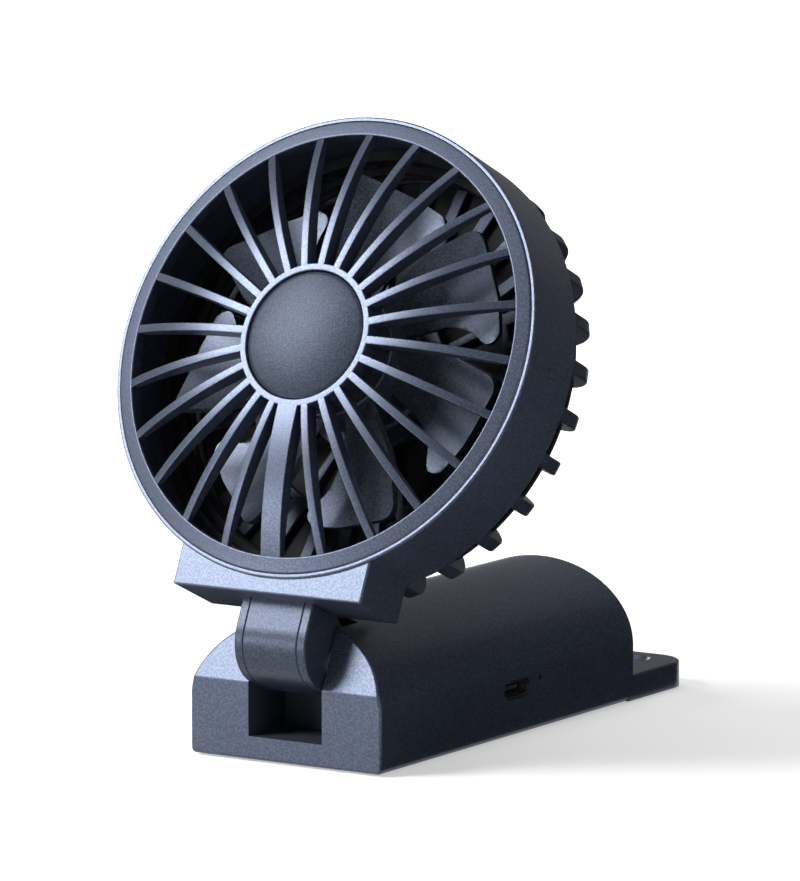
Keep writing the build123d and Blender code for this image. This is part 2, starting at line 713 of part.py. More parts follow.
def arm_core():
    """Middle of the arm, with the tongue that stands in the chin and the bored hinge eye."""
    width = ARM_WIDTH - 2 * CHEEK_THICKNESS
    core = extrude(Plane.YZ * arm_outline(), amount=width / 2, both=True)
    seams = core.faces().sort_by(Axis.X)
    core = chamfer(seams[0].edges() + seams[-1].edges(), SEAM_CHAMFER)
    tongue_top = -DRUM_R - TONGUE_GAP
    low = (-width / 2, -chin_drop - SEAM_CHAMFER, -arm_front - ARM_THICKNESS + SEAM_CHAMFER)
    core += block(low, (width / 2, tongue_top, -arm_front - SEAM_CHAMFER))
    bush_r = HINGE_PIN_R + HINGE_GAP + BUSH_WALL
    core -= at_eye() * cross_bar(bush_r, -width, width)
    for place in arm_screw_places():
        core -= place * screw_hole(SCREW_LENGTH)
    return core


def arm_cheek(side):
    """Flat cheek on one side of the arm."""
    inner = ARM_WIDTH / 2 - CHEEK_THICKNESS
    cheek = extrude(Plane.YZ * arm_outline(), amount=CHEEK_THICKNESS)
    faces = cheek.faces().sort_by(Axis.X)
    cheek = chamfer(faces[0].edges(), SEAM_CHAMFER)
    outer = cheek.faces().sort_by(Axis.X)[-1]
    cheek = fillet(outer.edges(), CHEEK_EDGE_R)
    cheek = Pos(inner, 0, 0) * cheek
    cheek -= at_eye() * cross_bar(HINGE_PIN_R + HINGE_GAP, 0, ARM_WIDTH)
    if side < 0:
        cheek = mirror(cheek, about=Plane.YZ)
    return cheek


def arm_bushes():
    """Brass bushes in the hinge eye, one from each side."""
    core_half = ARM_WIDTH / 2 - CHEEK_THICKNESS
    inner = HINGE_PIN_R + HINGE_GAP
    bush = tube(inner + BUSH_WALL, inner, 0, BUSH_LENGTH)
    left = Pos(-core_half, 0, 0) * Rot(0, 90, 0)
    right = Pos(core_half, 0, 0) * Rot(0, -90, 0)
    return at_eye() * group([left, right], bush)


def arm_screws():
    """Screws from inside the drum down into the arm."""
    return group(arm_screw_places(), screw(SCREW_LENGTH))


# Head shell


def front_shell():
    """Drum with a chin block under it, seated for the front grille and slotted for the arm."""
    drum = disc(DRUM_R, -DRUM_DEPTH, -RIM_SETBACK)
    rim = drum.faces().sort_by(Axis.Z)[-1].edges()
    drum = fillet(rim, DRUM_EDGE_R)
    chin_half = CHIN_WIDTH / 2
    chin = block((-chin_half, -chin_drop, -chin_back), (chin_half, -drum_bore / 2, -chin_front))
    chin_edges = chin.faces().sort_by(Axis.Y)[0].edges() + chin.edges().filter_by(Axis.Y)
    shell = drum + fillet(chin_edges, CHIN_EDGE_R)
    shell -= disc(drum_bore, -DRUM_DEPTH - CUT, CUT)
    shell -= disc(seat_r, -GRILLE_RING_DEPTH, CUT)
    slot_half = ARM_WIDTH / 2 - CHEEK_THICKNESS + TONGUE_GAP
    slot_low = (-slot_half, -chin_drop - CUT, -arm_front - ARM_THICKNESS)
    shell -= block(slot_low, (slot_half, -DRUM_R, -arm_front))
    for place in arm_screw_places():
        shell -= place * screw_hole(DRUM_WALL + CUT)
        shell -= place * disc(SCREW_HEAD_R + SCREW_GAP, -SCREW_HEAD_HEIGHT - CUT, 0)
    return shell


# Front grille


def spoke_bar(width, deg):
    """Upright slab that cuts one spoke out of the dome."""
    hub_in = HUB_RING_R - HUB_RING_WIDTH / 2
    rim_in = ring_inner + GRILLE_RING_WIDTH / 4
    slab = block((hub_in, -width / 2, -DOME_HEIGHT), (rim_in, width / 2, 2 * DOME_HEIGHT))
    return Rot(0, 0, deg) * slab


def grille_dome():
    """Domed band between the hub and the ring, thicker towards the hub."""
    hub_top = (HUB_RING_R, DOME_HEIGHT)
    hub_low = (HUB_RING_R, DOME_HEIGHT - SPOKE_DEPTH_HUB)
    front = TangentArc(hub_top, (ring_inner, 0), tangent=(1, 0))
    back = TangentArc(hub_low, (ring_inner, -SPOKE_DEPTH_RIM), tangent=(1, 0))
    outer_front = front @ 1 + (front % 1) * GRILLE_RING_WIDTH / 2
    outer_back = (outer_front.X, -GRILLE_RING_DEPTH + GRILLE_EDGE)
    hub_in = HUB_RING_R - HUB_RING_WIDTH
    rim = Polyline(front @ 1, outer_front, outer_back, back @ 1)
    hub = Polyline(back @ 0, (hub_in, hub_low[1]), (hub_in, hub_top[1]), front @ 0)
    section = make_face([*front.edges(), *rim.edges(), *back.edges(), *hub.edges()])
    return revolve(Plane.XZ * section, axis=Axis.Z)


def grille_ring():
    """Outer ring with its sloping front, resting on the drum's seat."""
    slope = RIM_SETBACK / (DRUM_R - ring_inner)
    outer_front = -slope * GRILLE_RING_WIDTH
    points = [
        (ring_inner + GRILLE_EDGE, 0),
        (ring_outer, outer_front),
        (ring_outer, -GRILLE_RING_DEPTH),
        (ring_inner, -GRILLE_RING_DEPTH),
        (ring_inner, -GRILLE_EDGE),
    ]
    return revolve(Plane.XZ * make_face(Polyline(*points, close=True)), axis=Axis.Z)


def grille_hub():
    """Hub ring with the floor that the cap lies on."""
    low = DOME_HEIGHT - SPOKE_DEPTH_HUB
    hub = tube(HUB_RING_R, HUB_RING_R - HUB_RING_WIDTH, low, DOME_HEIGHT)
    rim = hub.faces().sort_by(Axis.Z)[-1].edges()
    hub = chamfer(rim, GRILLE_EDGE)
    return hub + disc(HUB_RING_R - HUB_RING_WIDTH / 2, low, low + HUB_FLOOR)


def front_grille():
    """Domed guard: narrow spokes round the hub, with one wide spoke at the bottom."""
    step = 360 / SPOKE_COUNT
    bottom_deg = 270
    bars = [spoke_bar(SPOKE_WIDTH, bottom_deg + step * i) for i in range(1, SPOKE_COUNT)]
    bars.append(spoke_bar(WIDE_SPOKE_WIDTH, bottom_deg))
    dome = grille_dome()
    spokes = [dome & bar for bar in bars]
    return grille_ring() + grille_hub() + spokes


def hub_cap():
    """Round cap lying in the hub ring, just below its edge."""
    low = DOME_HEIGHT - SPOKE_DEPTH_HUB + HUB_FLOOR
    cap = disc(HUB_RING_R - HUB_RING_WIDTH - CAP_GAP, low, DOME_HEIGHT - CAP_RECESS)
    return fillet(cap.faces().sort_by(Axis.Z)[-1].edges(), CAP_EDGE_R)


# Rear grille


def rib_profile(inner):
    """Section of one rib from its root in the drum, round the corner, to an inner radius."""
    root = (rib_outer, -DRUM_DEPTH)
    corner = Vector(rib_corner_r, -rib_corner_back)
    turn = Vector(RIB_CORNER_R, 0).rotate(Axis.Z, -45)
    inside_r = RIB_CORNER_R - RIB_DEPTH
    inside_turn = Vector(inside_r, 0).rotate(Axis.Z, -45)
    side = Line(root, (rib_outer, -rib_corner_back))
    bend = ThreePointArc(side @ 1, corner + turn, (rib_corner_r, -rib_back))
    back = Line(bend @ 1, (inner, -rib_back))
    end = Line(back @ 1, (inner, -rib_back + RIB_DEPTH))
    front = Line(end @ 1, (rib_corner_r, -rib_back + RIB_DEPTH))
    inside = ThreePointArc(front @ 1, corner + inside_turn, (rib_corner_r + inside_r, -rib_corner_back))
    wall = Line(inside @ 1, (rib_corner_r + inside_r, -DRUM_DEPTH + REAR_RING_DEPTH / 2))
    ledge_r = drum_bore - REAR_RING_FIT - REAR_RING_WALL / 2
    step = Polyline(wall @ 1, (ledge_r, -DRUM_DEPTH + REAR_RING_DEPTH / 2), (ledge_r, -DRUM_DEPTH), root)
    return make_face([side, bend, back, end, front, inside, wall, *step.edges()])


def rear_grille():
    """Finned rear guard: ribs and hoops from a ring in the drum to a closed back with a motor hub."""
    ring_r = drum_bore - REAR_RING_FIT
    guard = tube(ring_r, ring_r - REAR_RING_WALL, -DRUM_DEPTH, -DRUM_DEPTH + REAR_RING_DEPTH)
    rib = extrude(Plane.XZ * rib_profile(MID_RING_R), amount=RIB_WIDTH / 2, both=True)
    bottom_deg = 270
    ribs = [place * rib for place in ring_places(RIB_COUNT, 0, bottom_deg)]
    mid_half = MID_RING_WIDTH / 2
    rib_front = -rib_back + RIB_DEPTH
    mid = tube(MID_RING_R + mid_half, MID_RING_R - mid_half, -rib_back, rib_front)
    inner_low = (REAR_HUB_R - REAR_HUB_WALL / 2, -INNER_RIB_WIDTH / 2, -rib_back)
    inner_rib = block(inner_low, (MID_RING_R, INNER_RIB_WIDTH / 2, rib_front))
    inner_ribs = [place * inner_rib for place in ring_places(INNER_RIB_COUNT, 0, bottom_deg)]
    hub_front = motor_seat()
    hub = tube(REAR_HUB_R, REAR_HUB_R - REAR_HUB_WALL, -rib_back, hub_front)
    hub += disc(REAR_HUB_R - REAR_HUB_WALL / 2, hub_front - REAR_HUB_FLOOR, hub_front)
    wall_back = -rib_back + BACK_WALL_RELIEF
    wall_bore = REAR_HUB_R - REAR_HUB_WALL / 2
    wall = tube(BACK_WALL_R, wall_bore, wall_back, wall_back + BACK_WALL_THICKNESS)
    hoop_r = rib_outer - RIB_DEPTH - HOOP_INSET
    hoop = tube(hoop_r + HOOP_WIDTH, hoop_r, -HOOP_THICKNESS, 0)
    first = -DRUM_DEPTH - HOOP_END_GAP
    last = wall_back + BACK_WALL_THICKNESS + HOOP_END_GAP + HOOP_THICKNESS
    pitch = (first - last) / max(HOOP_COUNT - 1, 1)
    hoops = [Pos(0, 0, first - pitch * i) * hoop for i in range(HOOP_COUNT)]
    guard = guard + mid + hub + wall + hoops + ribs + inner_ribs
    for place in motor_screw_places():
        guard -= place * screw_hole(MOTOR_SCREW_LENGTH)
    return guard


def rear_cap():
    """Cap that closes the rear hub over the motor's screws."""
    back = -rib_back + REAR_CAP_RECESS
    radius = REAR_HUB_R - REAR_HUB_WALL - CAP_GAP
    cap = disc(radius, back, back + REAR_CAP_THICKNESS)
    cap = fillet(cap.faces().sort_by(Axis.Z)[0].edges(), CAP_EDGE_R)
    skirt_top = motor_seat() - REAR_HUB_FLOOR
    return cap + tube(radius, radius - REAR_HUB_WALL / 2, back + REAR_CAP_THICKNESS, skirt_top)


# Motor, from the impeller's hub back to the rear guard


def rotor_front():
    """Front face of the rotor cup, against the inside of the impeller's nose."""
    return -IMPELLER_FRONT - IMPELLER_WALL


def rotor_radius():
    """Outside of the rotor cup, glued in the impeller's hub."""
    return IMPELLER_HUB_R - IMPELLER_WALL - ROTOR_GLUE


def magnet_inner():
    """Inside of the magnet ring."""
    return rotor_radius() - ROTOR_WALL - MAGNET_WALL


def board_front():
    """Front face of the motor board, behind the rotor's open end."""
    return rotor_front() - ROTOR_LENGTH - ROTOR_BOARD_GAP


def plate_front():
    """Front face of the motor plate."""
    return board_front() - MOTOR_BOARD_THICKNESS - MOTOR_POST_HEIGHT


def motor_seat():
    """Face of the rear hub that the motor plate is screwed to."""
    return plate_front() - MOTOR_PLATE_THICKNESS


def stator_middle():
    """Middle of the stator and the magnets along the axis."""
    magnet_front = rotor_front() - ROTOR_WALL - MAGNET_GAP
    return magnet_front - MAGNET_LENGTH / 2


def tube_front():
    """Front end of the bearing tube, behind the rotor's boss."""
    return rotor_front() - ROTOR_WALL - ROTOR_BOSS_DEPTH - MAGNET_GAP


def motor_screw_places():
    """Places behind the rear hub's floor, with the shanks pointing forward."""
    seat = Pos(0, 0, motor_seat() - REAR_HUB_FLOOR)
    return [seat * place for place in ring_places(MOTOR_SCREW_COUNT, MOTOR_SCREW_CIRCLE_R, 90)]


def motor_plate():
    """Motor base: a flat disc with a bearing tube, board posts and tapped holes."""
    plate = disc(MOTOR_PLATE_R, motor_seat(), plate_front())
    bore = BEARING_R
    plate += disc(bore + TUBE_WALL, plate_front(), tube_front())
    post = disc(MOTOR_POST_R, plate_front(), plate_front() + MOTOR_POST_HEIGHT)
    post_r = bore + TUBE_WALL + MOTOR_POST_R
    for place in ring_places(MOTOR_SCREW_COUNT, post_r, 30):
        plate += place * post
    plate -= disc(bore, motor_seat() - CUT, tube_front() + CUT)
    for place in motor_screw_places():
        plate -= place * screw_hole(MOTOR_SCREW_LENGTH)
    return plate


def motor_screws():
    """Screws through the rear hub's floor into the motor plate."""
    return group(motor_screw_places(), screw(MOTOR_SCREW_LENGTH))


def bearing_places():
    """One bearing at each end of the tube."""
    front = Pos(0, 0, tube_front() - BEARING_LENGTH)
    rear = Pos(0, 0, plate_front() - CLIP_THICKNESS)
    return [front, rear]


def motor_bearings():
    """Two small bearings pressed in the tube."""
    race = tube(BEARING_R - BEARING_FIT, SHAFT_R + SHAFT_GAP, 0, BEARING_LENGTH)
    return group(bearing_places(), race)


def shaft_end():
    """Rear end of the shaft, inside the motor plate."""
    return motor_seat() + CLIP_THICKNESS / 2


def clip_place():
    """Middle of the clip's groove behind the rear bearing."""
    rear_bearing = bearing_places()[1].position.Z
    return (rear_bearing + shaft_end()) / 2


def motor_shaft():
    """Steel shaft fixed in the rotor cup, grooved for its clip."""
    shaft = disc(SHAFT_R, shaft_end(), rotor_front())
    groove = tube(SHAFT_R + CUT, SHAFT_R - CLIP_THICKNESS, 0, CLIP_THICKNESS)
    return shaft - Pos(0, 0, clip_place() - CLIP_THICKNESS / 2) * groove


def shaft_clip():
    """Spring clip in the shaft's groove, open on one side."""
    clip = tube(CLIP_R, SHAFT_R - CLIP_THICKNESS, 0, CLIP_THICKNESS)
    clip -= block((0, -SHAFT_R / 2, -CUT), (CLIP_R + CUT, SHAFT_R / 2, CLIP_THICKNESS + CUT))
    return Pos(0, 0, clip_place() - CLIP_THICKNESS / 2) * clip


def rotor_cup():
    """Pressed steel cup that carries the magnets, with a boss for the shaft."""
    front = rotor_front()
    outer = rotor_radius()
    cup = disc(outer, front - ROTOR_LENGTH, front)
    cup -= disc(outer - ROTOR_WALL, front - ROTOR_LENGTH - CUT, front - ROTOR_WALL)
    cup += disc(ROTOR_BOSS_R, front - ROTOR_WALL - ROTOR_BOSS_DEPTH, front - ROTOR_WALL)
    return cup - disc(SHAFT_R, front - ROTOR_LENGTH, front + CUT)


def magnet_ring():
    """Ring magnet inside the rotor cup."""
    half = MAGNET_LENGTH / 2
    return tube(rotor_radius() - ROTOR_WALL, magnet_inner(), stator_middle() - half, stator_middle() + half)


def stator_core():
    """Stack of stator sheets: a yoke on the bearing tube with wide-ended teeth."""
    outer = magnet_inner() - AIR_GAP
    bore = BEARING_R + TUBE_WALL
    half = STATOR_LENGTH / 2
    low = stator_middle() - half
    high = stator_middle() + half
    core = tube(bore + STATOR_YOKE, bore, low, high)
    shoe = tube(outer, outer - TOOTH_SHOE_DEPTH, low, high)
    tooth = block((bore + STATOR_YOKE / 2, -TOOTH_WIDTH / 2, low), (outer, TOOTH_WIDTH / 2, high))
    gap_half = outer * math.radians(TOOTH_SHOE_GAP_DEG) / 2
    slot = block((outer - 2 * TOOTH_SHOE_DEPTH, -gap_half, low - CUT), (outer + CUT, gap_half, high + CUT))
    half_step = 180 / TOOTH_COUNT
    for place in ring_places(TOOTH_COUNT, 0, half_step):
        shoe -= place * slot
    core += [place * tooth for place in ring_places(TOOTH_COUNT, 0)]
    return core + shoe


def stator_coils():
    """One wire coil on each tooth, between the yoke and the tooth's wide end."""
    shoe_inner = magnet_inner() - AIR_GAP - TOOTH_SHOE_DEPTH
    inner = BEARING_R + TUBE_WALL + STATOR_YOKE + COIL_GAP
    hole_width = TOOTH_WIDTH + 2 * COIL_GAP
    outer = math.sqrt(shoe_inner**2 - (hole_width / 2 + COIL_WALL) ** 2) - COIL_GAP
    hole_height = STATOR_LENGTH + 2 * COIL_GAP
    wire = RectangleRounded(hole_width + 2 * COIL_WALL, hole_height + 2 * COIL_OVERHANG, COIL_WALL)
    wire -= Rectangle(hole_width, hole_height)
    facing = Plane(origin=(inner, 0, stator_middle()), x_dir=(0, 1, 0), z_dir=(1, 0, 0))
    coil = extrude(facing * wire, amount=outer - inner)
    return group(ring_places(TOOTH_COUNT, 0), coil)


def motor_board():
    """Ring-shaped circuit board on the motor plate's posts."""
    bore = BEARING_R + TUBE_WALL + COIL_GAP
    return tube(MOTOR_BOARD_R, bore, board_front() - MOTOR_BOARD_THICKNESS, board_front())


# Impeller


def blade_section(radius, shift_deg):
    """Cambered strip across the blade at one radius, rising from its rear edge to its front edge."""
    half_run = radius * math.tan(math.radians(BLADE_SPAN_DEG / 2))
    shift = radius * math.tan(math.radians(shift_deg))
    half_rise = BLADE_RISE / 2
    across = Vector(-half_rise, half_run).normalized()
    thick = across * (BLADE_THICKNESS / 2)
    start = Vector(shift - half_run, -half_rise)
    end = Vector(shift + half_run, half_rise)
    middle = Vector(shift, 0) - across * BLADE_CAMBER
    face = ThreePointArc(start + thick, middle + thick, end + thick)
    tail = Line(end + thick, end - thick)
    rear = ThreePointArc(end - thick, middle - thick, start - thick)
    nose = Line(start - thick, start + thick)
    depth = -IMPELLER_FRONT - BLADE_SETBACK - half_rise
    place = Plane(origin=(radius, 0, depth), x_dir=(0, 1, 0), z_dir=(1, 0, 0))
    return place * make_face([face, tail, rear, nose])


def polar(radius, deg):
    """Point at a radius and an angle about the fan's axis."""
    return Vector(radius, 0).rotate(Axis.Z, deg)


def blade_outline():
    """Front view of one blade: a swept petal with a round leading tip and a tighter trailing corner."""
    root_r = IMPELLER_HUB_R - IMPELLER_WALL / 2
    lead_r = IMPELLER_R - BLADE_TIP_INSET
    half = BLADE_SPAN_DEG / 2
    sweep = BLADE_SWEEP_DEG / 2
    root_lead = polar(root_r, sweep - half)
    tip_lead = polar(lead_r, -sweep - half)
    tip_trail = polar(IMPELLER_R, half - sweep)
    root_trail = polar(root_r, half + sweep)
    lead = ThreePointArc(root_lead, polar((root_r + lead_r) / 2, -half), tip_lead)
    tip = ThreePointArc(tip_lead, polar(IMPELLER_R - BLADE_TIP_INSET / 4, -sweep), tip_trail)
    trail = ThreePointArc(tip_trail, polar((root_r + IMPELLER_R) / 2, half), root_trail)
    face = make_face([lead, tip, trail, Line(root_trail, root_lead)])
    face = fillet([v for v in face.vertices() if (v.center() - tip_lead).length < CUT], BLADE_TIP_R)
    return fillet([v for v in face.vertices() if (v.center() - tip_trail).length < CUT], BLADE_TAIL_R)


def impeller():
    """Impeller: a hub that covers the rotor cup, with broad swept blades."""
    hub_back = rotor_front() - ROTOR_LENGTH
    hub = disc(IMPELLER_HUB_R, hub_back, -IMPELLER_FRONT)
    hub = fillet(hub.faces().sort_by(Axis.Z)[-1].edges(), IMPELLER_NOSE_R)
    root_r = IMPELLER_HUB_R - IMPELLER_WALL / 2
    reach = IMPELLER_R / math.cos(math.radians(BLADE_SPAN_DEG / 2))
    half_sweep = BLADE_SWEEP_DEG / 2
    sections = [blade_section(root_r / 2, half_sweep), blade_section(reach, -half_sweep)]
    sheet = loft(sections, ruled=True)
    petal = Pos(0, 0, hub_back) * extrude(blade_outline(), amount=ROTOR_LENGTH + IMPELLER_FRONT)
    blade = sheet & petal
    hub += [place * blade for place in ring_places(BLADE_COUNT, 0, 90)]
    return hub - disc(rotor_radius() + ROTOR_GLUE, hub_back - CUT, rotor_front())


def export(name, shape):
    """Write one piece to its own file."""
    export_step(shape, os.path.join("parts", name + ".step"))


BASE_PIECES = {
    "base_shell": base_shell,
    "base_bottom_plate": bottom_plate,
    "anti_slip_pad": anti_slip_pad,
    "base_screws": base_screws,
    "battery_cell": battery_cell,
    "charge_board": charge_board,
    "board_screws": board_screws,
    "usb_c_shell": usb_c_shell,
    "usb_c_tongue": usb_c_tongue,
    "led_light_pipe": led_light_pipe,
    "led_lamp": led_lamp,
    "power_button": power_button,
    "switch_stem": switch_stem,
    "tact_switch": tact_switch,
    "switch_board": switch_board,
    "hinge_pin": hinge_pin,
    "hinge_washers": hinge_washers,
}

HEAD_PIECES = {
    "arm_core": arm_core,
    "arm_cheek_left": lambda: arm_cheek(-1),
    "arm_cheek_right": lambda: arm_cheek(1),
    "arm_bushes": arm_bushes,
    "arm_screws": arm_screws,
    "front_shell": front_shell,
    "front_grille": front_grille,
    "hub_cap": hub_cap,
    "rear_grille": rear_grille,
    "rear_cap": rear_cap,
    "motor_plate": motor_plate,
    "motor_screws": motor_screws,
    "motor_bearings": motor_bearings,
    "stator_core": stator_core,
    "stator_coils": stator_coils,
    "motor_board": motor_board,
    "impeller": impeller,
    "rotor_cup": rotor_cup,
    "magnet_ring": magnet_ring,
    "motor_shaft": motor_shaft,
    "shaft_clip": shaft_clip,
}

os.makedirs("parts", exist_ok=True)
for name, make in BASE_PIECES.items():
    export(name, CASING * make())
for name, make in HEAD_PIECES.items():
    export(name, CASING * (HEAD * make()))
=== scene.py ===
import math

import bmesh
import bpy
from mathutils import Matrix, Vector


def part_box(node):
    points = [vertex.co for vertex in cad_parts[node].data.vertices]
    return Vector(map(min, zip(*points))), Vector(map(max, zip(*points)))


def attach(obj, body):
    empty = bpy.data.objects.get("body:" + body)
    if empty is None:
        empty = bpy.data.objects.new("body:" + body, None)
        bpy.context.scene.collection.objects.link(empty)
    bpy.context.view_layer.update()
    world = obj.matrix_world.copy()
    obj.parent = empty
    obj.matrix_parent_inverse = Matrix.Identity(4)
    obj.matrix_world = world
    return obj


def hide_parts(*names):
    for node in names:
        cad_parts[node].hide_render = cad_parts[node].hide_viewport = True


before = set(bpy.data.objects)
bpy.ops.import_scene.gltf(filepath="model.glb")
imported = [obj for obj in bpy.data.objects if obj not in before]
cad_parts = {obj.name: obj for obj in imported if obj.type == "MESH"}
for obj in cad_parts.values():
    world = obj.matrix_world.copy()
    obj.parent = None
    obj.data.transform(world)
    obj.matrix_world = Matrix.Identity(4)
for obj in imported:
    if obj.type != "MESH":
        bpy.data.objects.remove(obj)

scene = bpy.context.scene
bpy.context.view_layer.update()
mm = 0.001


# Casing: the arched shell of the foot, moulded in one piece with its rear tab.
# It is sprayed in a satin slate paint, whose fine flakes catch the light as a pale grain.
# The walls of the arm's notch carry painted shade: there the paint's colour turns near black and rougher,
# fading in just behind the front edge.
def slate_paint(name, dark, pale, rough, grain, gloss_level, flakes_per_m=2700.0):
    """Satin paint with fine flakes over the faint orange peel of a sprayed coat."""
    rough_swing = 0.025
    peel_per_m = 2300.0
    peel_depth = 0.05 * mm
    cool_tint = (0.61, 0.72, 1.0, 1)
    paint = bpy.data.materials.new(name)
    paint.use_nodes = True
    nodes, links = paint.node_tree.nodes, paint.node_tree.links
    skin = nodes["Principled BSDF"]
    skin.inputs["Specular IOR Level"].default_value = gloss_level
    skin.inputs["Specular Tint"].default_value = cool_tint
    place = nodes.new("ShaderNodeTexCoord")
    flakes = nodes.new("ShaderNodeTexNoise")
    flakes.inputs["Scale"].default_value = flakes_per_m
    flakes.inputs["Detail"].default_value = 2.0
    links.new(place.outputs["Object"], flakes.inputs["Vector"])
    tone = nodes.new("ShaderNodeValToRGB")
    tone.color_ramp.elements[0].position = 0.42
    tone.color_ramp.elements[0].color = (*dark, 1)
    tone.color_ramp.elements[1].position = 0.60
    tone.color_ramp.elements[1].color = (*pale, 1)
    links.new(flakes.outputs["Fac"], tone.inputs["Fac"])
    links.new(tone.outputs["Color"], skin.inputs["Base Color"])
    gloss = nodes.new("ShaderNodeMapRange")
    gloss.inputs["From Min"].default_value = 0.35
    gloss.inputs["From Max"].default_value = 0.65
    gloss.inputs["To Min"].default_value = rough + rough_swing
    gloss.inputs["To Max"].default_value = rough - rough_swing
    links.new(flakes.outputs["Fac"], gloss.inputs["Value"])
    links.new(gloss.outputs["Result"], skin.inputs["Roughness"])
    peel = nodes.new("ShaderNodeTexNoise")
    peel.inputs["Scale"].default_value = peel_per_m
    peel.inputs["Detail"].default_value = 3.0
    links.new(place.outputs["Object"], peel.inputs["Vector"])
    bump = nodes.new("ShaderNodeBump")
    bump.inputs["Strength"].default_value = grain
    bump.inputs["Distance"].default_value = peel_depth
    links.new(peel.outputs["Fac"], bump.inputs["Height"])
    links.new(bump.outputs["Normal"], skin.inputs["Normal"])
    return paint


def reckon(tree, operation, *terms):
    """Put a math node on sockets or plain numbers into a node tree, and give its result."""
    node = tree.nodes.new("ShaderNodeMath")
    node.operation = operation
    for term, socket in zip(terms, node.inputs):
        if isinstance(term, bpy.types.NodeSocket):
            tree.links.new(term, socket)
        else:
            socket.default_value = term
    return node.outputs[0]


def dress(finish, *names):
    """Give solids of the part their finish."""
    for name in names:
        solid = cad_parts[name]
        solid.data.materials.clear()
        solid.data.materials.append(finish)


slate_dark = (0.011, 0.014, 0.023)
slate_pale = (0.041, 0.051, 0.077)
slate_rough = 0.35
slate_grain = 0.09
slate_gloss = 0.95
notch_half = 8.2 * mm
notch_front = -45.4 * mm
notch_back = -33.0 * mm
notch_slack = 0.02 * mm
# Painted shade for the inside of the arm's notch: its fade from the front edge, its near-black colour and its
# roughness.
shade_fade_from = notch_front + 0.05 * mm
shade_fade_to = notch_front + 1.2 * mm
notch_shade_black = (0.004, 0.0045, 0.006, 1)
notch_shade_rough = (0.75, 0.75, 0.75, 1)
shell_paint = slate_paint("shell_paint", slate_dark, slate_pale, slate_rough, slate_grain, slate_gloss)
tree = shell_paint.node_tree
place = tree.nodes.new("ShaderNodeTexCoord")
apart = tree.nodes.new("ShaderNodeSeparateXYZ")
tree.links.new(place.outputs["Object"], apart.inputs["Vector"])
sideways = reckon(tree, "ABSOLUTE", apart.outputs["X"])
in_width = reckon(tree, "LESS_THAN", sideways, notch_half + notch_slack)
in_depth = reckon(tree, "LESS_THAN", apart.outputs["Y"], notch_back + notch_slack)
shade_fade = tree.nodes.new("ShaderNodeMapRange")
shade_fade.inputs["From Min"].default_value = shade_fade_from
shade_fade.inputs["From Max"].default_value = shade_fade_to
tree.links.new(apart.outputs["Y"], shade_fade.inputs["Value"])
# Painted shade: this mask swaps the paint for near black inside the notch, rising from just behind the front
# edge.
in_notch = reckon(tree, "MULTIPLY", in_width, in_depth)
notch_shade_mask = reckon(tree, "MULTIPLY", in_notch, shade_fade.outputs["Result"])
skin = tree.nodes["Principled BSDF"]
mix_share, mix_painted, mix_shade, mix_result = 0, 6, 7, 2
for socket, shaded in (("Base Color", notch_shade_black), ("Roughness", notch_shade_rough)):
    painted = skin.inputs[socket].links[0].from_socket
    masked = tree.nodes.new("ShaderNodeMix")
    masked.data_type = "RGBA"
    tree.links.new(notch_shade_mask, masked.inputs[mix_share])
    tree.links.new(painted, masked.inputs[mix_painted])
    masked.inputs[mix_shade].default_value = shaded
    tree.links.new(masked.outputs[mix_result], skin.inputs[socket])
dress(shell_paint, "base_shell")


# Bottom plate and its inner fittings: a black satin moulding that closes the casing from below.
# The switch body, the button's stem and the socket's tongue are moulded in the same plastic.
def satin_plastic(name, colour, rough, grain, gloss_level=0.5):
    """Moulded plastic with the fine even grain of an etched mould."""
    rough_swing = 0.06
    etch_per_m = 2600.0
    etch_depth = 0.03 * mm
    plastic = bpy.data.materials.new(name)
    plastic.use_nodes = True
    nodes, links = plastic.node_tree.nodes, plastic.node_tree.links
    skin = nodes["Principled BSDF"]
    skin.inputs["Base Color"].default_value = (*colour, 1)
    skin.inputs["Specular IOR Level"].default_value = gloss_level
    place = nodes.new("ShaderNodeTexCoord")
    etch = nodes.new("ShaderNodeTexNoise")
    etch.inputs["Scale"].default_value = etch_per_m
    etch.inputs["Detail"].default_value = 2.0
    links.new(place.outputs["Object"], etch.inputs["Vector"])
    gloss = nodes.new("ShaderNodeMapRange")
    gloss.inputs["To Min"].default_value = rough - rough_swing
    gloss.inputs["To Max"].default_value = rough + rough_swing
    links.new(etch.outputs["Fac"], gloss.inputs["Value"])
    links.new(gloss.outputs["Result"], skin.inputs["Roughness"])
    bump = nodes.new("ShaderNodeBump")
    bump.inputs["Strength"].default_value = grain
    bump.inputs["Distance"].default_value = etch_depth
    links.new(etch.outputs["Fac"], bump.inputs["Height"])
    links.new(bump.outputs["Normal"], skin.inputs["Normal"])
    return plastic


dark_plastic = satin_plastic("dark_plastic", (0.016, 0.017, 0.020), rough=0.50, grain=0.25)
dress(dark_plastic, "base_bottom_plate", "tact_switch", "switch_stem", "usb_c_tongue")


# Pad: a thin sheet of soft rubber stuck in the recess of the bottom plate.
# Its matt face has a fine pebble that grips the desk.
pad_rubber = satin_plastic("pad_rubber", (0.012, 0.012, 0.013), rough=0.85, grain=0.6, gloss_level=0.25)
dress(pad_rubber, "anti_slip_pad")


